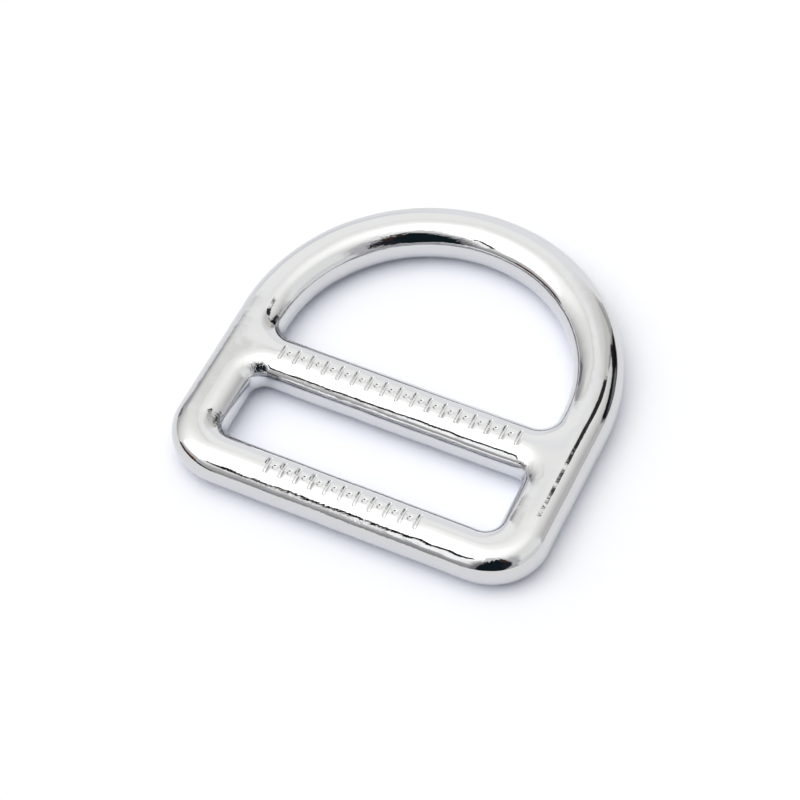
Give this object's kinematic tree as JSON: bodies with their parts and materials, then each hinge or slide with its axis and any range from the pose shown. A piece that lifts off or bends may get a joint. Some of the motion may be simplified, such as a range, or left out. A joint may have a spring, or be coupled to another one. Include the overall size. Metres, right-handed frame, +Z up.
{
  "type": "slotted d-ring buckle",
  "caption": "One-piece forged steel D-ring with a crossbar, a D opening for a connector and a long slot for harness webbing, bright plated.",
  "frame": {"origin": "under the middle of the outline, on the plane that the ring lies on", "axes": "+X along the crossbar, +Y from the foot bar to the crown of the D, +Z up, square to the ring's plane"},
  "size_m": [0.0624, 0.062, 0.0074],
  "materials": {
    "plated_steel": "bright plated, smooth"
  },
  "bodies": {
    "root": {"forged_ring": "plated_steel"}
  },
  "joints": []
}
